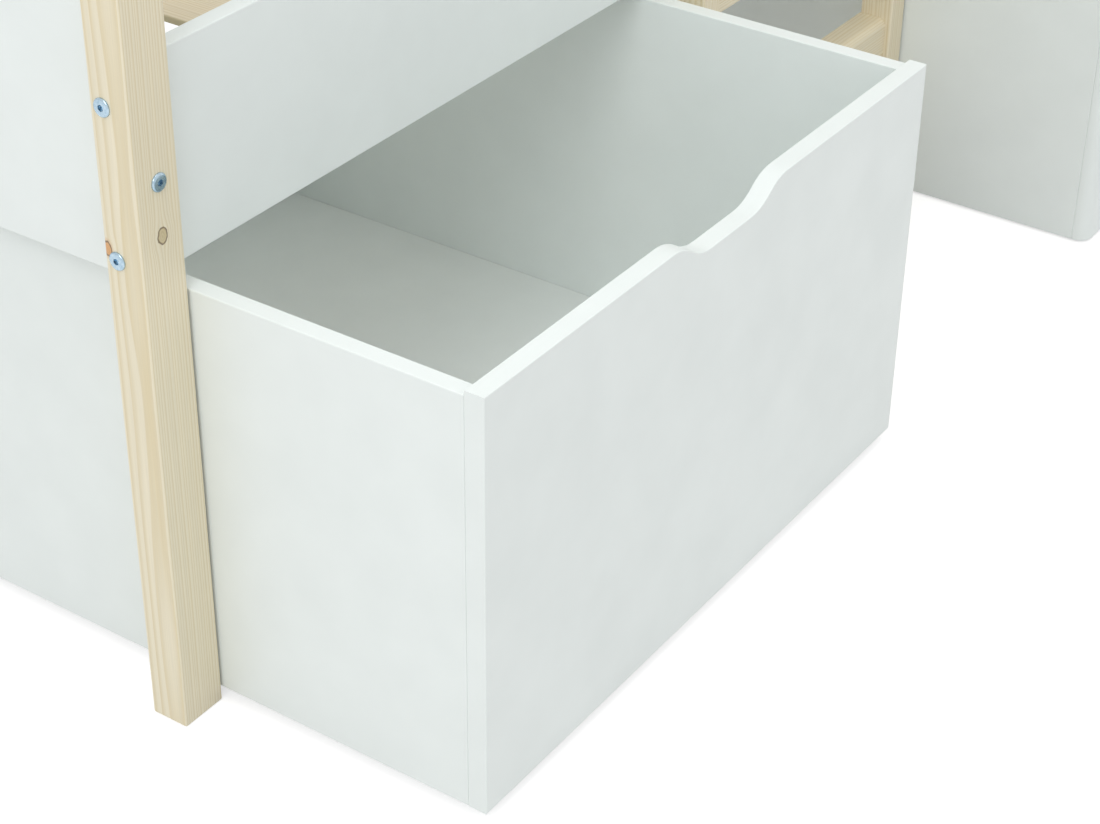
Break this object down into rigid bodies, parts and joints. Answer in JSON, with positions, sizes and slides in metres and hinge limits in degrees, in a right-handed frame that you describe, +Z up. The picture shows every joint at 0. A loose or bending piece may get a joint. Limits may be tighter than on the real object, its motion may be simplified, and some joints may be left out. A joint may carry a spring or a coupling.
{
  "type": "mid sleeper bed",
  "caption": "Mid-height child's bed with square wooden posts, white boards and guards, a slatted base, a fixed ladder and deep drawers on castors that roll out from under it.",
  "frame": {"origin": "middle of the footprint at floor level, with both drawers pulled out as in the picture", "axes": "+X along the bed to the right as seen from the ladder side, +Y from the ladder side to the back, +Z up"},
  "size_m": [2.0948, 1.3374, 1.075],
  "materials": {
    "pine": "clear satin lacquer over pale pine",
    "white_board": "smooth white satin lacquer on board",
    "beech": "plain turned wood",
    "zinc_steel": "bright zinc plating",
    "wheel_plastic": "matt black moulding"
  },
  "bodies": {
    "bed": {"back_guard": "white_board", "back_left_post": "pine", "back_right_post": "pine", "back_side_board": "white_board", "back_slat_ledge": "pine", "frame_barrel_nuts": "zinc_steel", "frame_bolts": "zinc_steel", "frame_dowels": "beech", "front_left_guard": "white_board", "front_left_post": "pine", "front_right_guard": "white_board", "front_right_post": "pine", "front_side_board": "white_board", "front_slat_ledge": "pine", "ladder_bolts": "zinc_steel", "ladder_left_upright": "pine", "ladder_right_upright": "pine", "ladder_rung_1": "pine", "ladder_rung_2": "pine", "ladder_rung_3": "pine", "ladder_rung_screws": "zinc_steel", "ladder_sleeve_nuts": "zinc_steel", "ledge_screws": "zinc_steel", "left_end_panel": "white_board", "right_end_panel": "white_board", "slat_screws": "zinc_steel", "slats": "pine"},
    "wide_drawer": {"wide_drawer_back": "white_board", "wide_drawer_back_screws": "zinc_steel", "wide_drawer_cam_bolts": "zinc_steel", "wide_drawer_cam_discs": "zinc_steel", "wide_drawer_castor_axles": "zinc_steel", "wide_drawer_castor_brackets": "zinc_steel", "wide_drawer_castor_screws": "zinc_steel", "wide_drawer_dowels": "beech", "wide_drawer_floor": "white_board", "wide_drawer_front": "white_board", "wide_drawer_left_side": "white_board", "wide_drawer_right_side": "white_board"},
    "wide_drawer_front_left_wheel": {"wide_drawer_front_left_wheel": "wheel_plastic"},
    "wide_drawer_front_right_wheel": {"wide_drawer_front_right_wheel": "wheel_plastic"},
    "wide_drawer_back_left_wheel": {"wide_drawer_back_left_wheel": "wheel_plastic"},
    "wide_drawer_back_right_wheel": {"wide_drawer_back_right_wheel": "wheel_plastic"},
    "narrow_drawer": {"narrow_drawer_back": "white_board", "narrow_drawer_back_screws": "zinc_steel", "narrow_drawer_cam_bolts": "zinc_steel", "narrow_drawer_cam_discs": "zinc_steel", "narrow_drawer_castor_axles": "zinc_steel", "narrow_drawer_castor_brackets": "zinc_steel", "narrow_drawer_castor_screws": "zinc_steel", "narrow_drawer_dowels": "beech", "narrow_drawer_floor": "white_board", "narrow_drawer_front": "white_board", "narrow_drawer_left_side": "white_board", "narrow_drawer_right_side": "white_board"},
    "narrow_drawer_front_left_wheel": {"narrow_drawer_front_left_wheel": "wheel_plastic"},
    "narrow_drawer_front_right_wheel": {"narrow_drawer_front_right_wheel": "wheel_plastic"},
    "narrow_drawer_back_left_wheel": {"narrow_drawer_back_left_wheel": "wheel_plastic"},
    "narrow_drawer_back_right_wheel": {"narrow_drawer_back_right_wheel": "wheel_plastic"}
  },
  "joints": [
    {"name": "wide_drawer_slide", "type": "slide", "parent": "bed", "child": "wide_drawer", "axis": [0, -1, 0], "range_m": [-0.355, 0.6]},
    {"name": "wide_drawer_front_left_wheel_spin", "type": "hinge", "parent": "wide_drawer", "child": "wide_drawer_front_left_wheel", "pos_m": [-0.924, -0.5887, 0.022], "axis": [1, 0, 0], "continuous": true},
    {"name": "wide_drawer_front_right_wheel_spin", "type": "hinge", "parent": "wide_drawer", "child": "wide_drawer_front_right_wheel", "pos_m": [-0.214, -0.5887, 0.022], "axis": [1, 0, 0], "continuous": true},
    {"name": "wide_drawer_back_left_wheel_spin", "type": "hinge", "parent": "wide_drawer", "child": "wide_drawer_back_left_wheel", "pos_m": [-0.924, 0.1813, 0.022], "axis": [1, 0, 0], "continuous": true},
    {"name": "wide_drawer_back_right_wheel_spin", "type": "hinge", "parent": "wide_drawer", "child": "wide_drawer_back_right_wheel", "pos_m": [-0.214, 0.1813, 0.022], "axis": [1, 0, 0], "continuous": true},
    {"name": "narrow_drawer_slide", "type": "slide", "parent": "bed", "child": "narrow_drawer", "axis": [0, -1, 0], "range_m": [-0.355, 0.6]},
    {"name": "narrow_drawer_front_left_wheel_spin", "type": "hinge", "parent": "narrow_drawer", "child": "narrow_drawer_front_left_wheel", "pos_m": [0.497, -0.5887, 0.022], "axis": [1, 0, 0], "continuous": true},
    {"name": "narrow_drawer_front_right_wheel_spin", "type": "hinge", "parent": "narrow_drawer", "child": "narrow_drawer_front_right_wheel", "pos_m": [0.924, -0.5887, 0.022], "axis": [1, 0, 0], "continuous": true},
    {"name": "narrow_drawer_back_left_wheel_spin", "type": "hinge", "parent": "narrow_drawer", "child": "narrow_drawer_back_left_wheel", "pos_m": [0.497, 0.1813, 0.022], "axis": [1, 0, 0], "continuous": true},
    {"name": "narrow_drawer_back_right_wheel_spin", "type": "hinge", "parent": "narrow_drawer", "child": "narrow_drawer_back_right_wheel", "pos_m": [0.924, 0.1813, 0.022], "axis": [1, 0, 0], "continuous": true}
  ],
  "couplings": [
    {"joint": "wide_drawer_front_left_wheel_spin", "follows": "wide_drawer_slide", "rad_per_m": 45.455},
    {"joint": "wide_drawer_front_right_wheel_spin", "follows": "wide_drawer_slide", "rad_per_m": 45.455},
    {"joint": "wide_drawer_back_left_wheel_spin", "follows": "wide_drawer_slide", "rad_per_m": 45.455},
    {"joint": "wide_drawer_back_right_wheel_spin", "follows": "wide_drawer_slide", "rad_per_m": 45.455},
    {"joint": "narrow_drawer_front_left_wheel_spin", "follows": "narrow_drawer_slide", "rad_per_m": 45.455},
    {"joint": "narrow_drawer_front_right_wheel_spin", "follows": "narrow_drawer_slide", "rad_per_m": 45.455},
    {"joint": "narrow_drawer_back_left_wheel_spin", "follows": "narrow_drawer_slide", "rad_per_m": 45.455},
    {"joint": "narrow_drawer_back_right_wheel_spin", "follows": "narrow_drawer_slide", "rad_per_m": 45.455}
  ]
}
